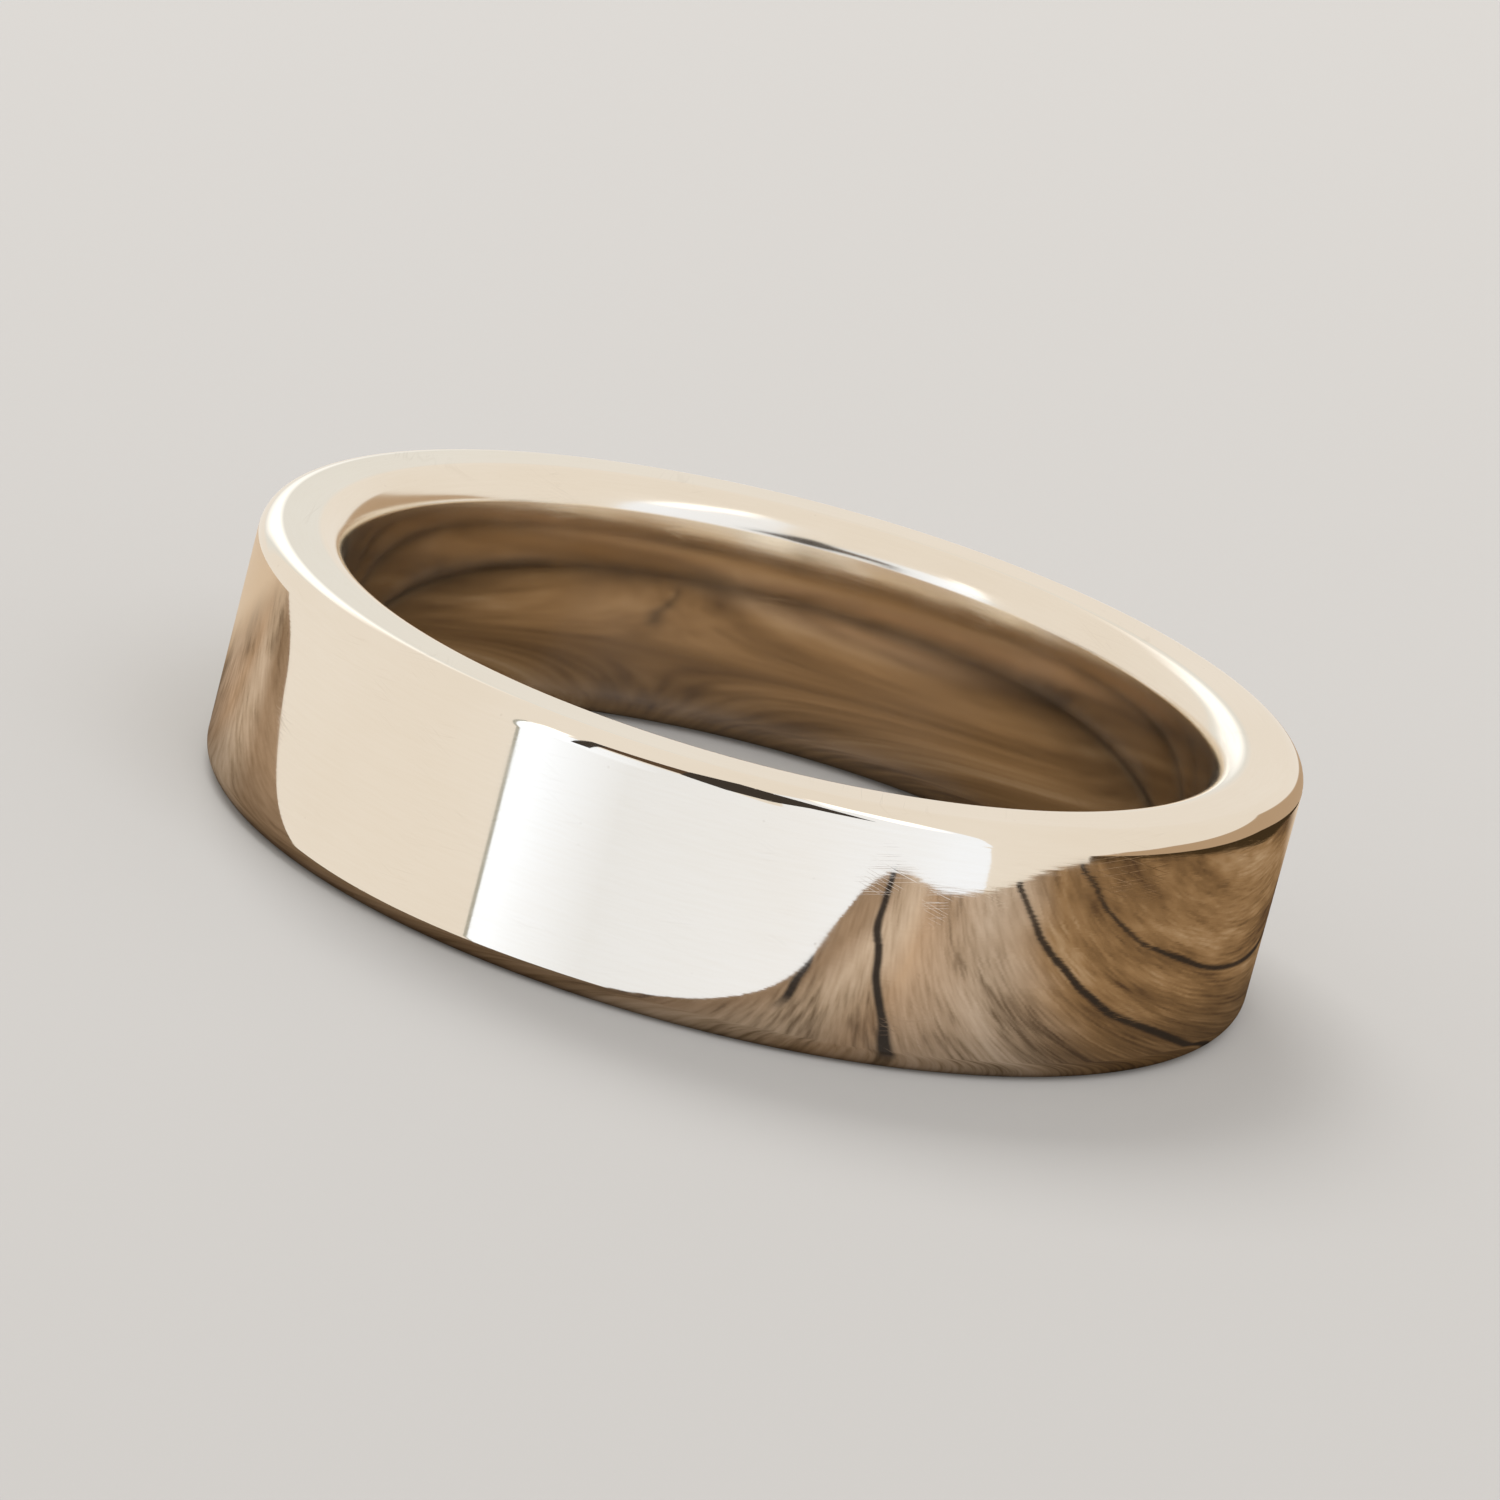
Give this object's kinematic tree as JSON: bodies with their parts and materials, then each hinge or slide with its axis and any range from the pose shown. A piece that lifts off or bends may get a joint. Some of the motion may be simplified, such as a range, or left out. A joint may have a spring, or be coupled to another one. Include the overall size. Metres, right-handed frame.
{
  "type": "wedding band",
  "caption": "Plain polished pale gold wedding band with a flat outer wall, flat rims, rounded edges and a comfort-fit bore.",
  "frame": {"origin": "centre of the bore at half the band's width", "axes": "+Z along the bore's axis; the band lies flat on its lower rim, and X and Y are any two diameters"},
  "size_m": [0.0248, 0.0248, 0.006],
  "materials": {
    "polished_gold": "polished pale champagne gold"
  },
  "bodies": {
    "root": {"band": "polished_gold"}
  },
  "joints": []
}
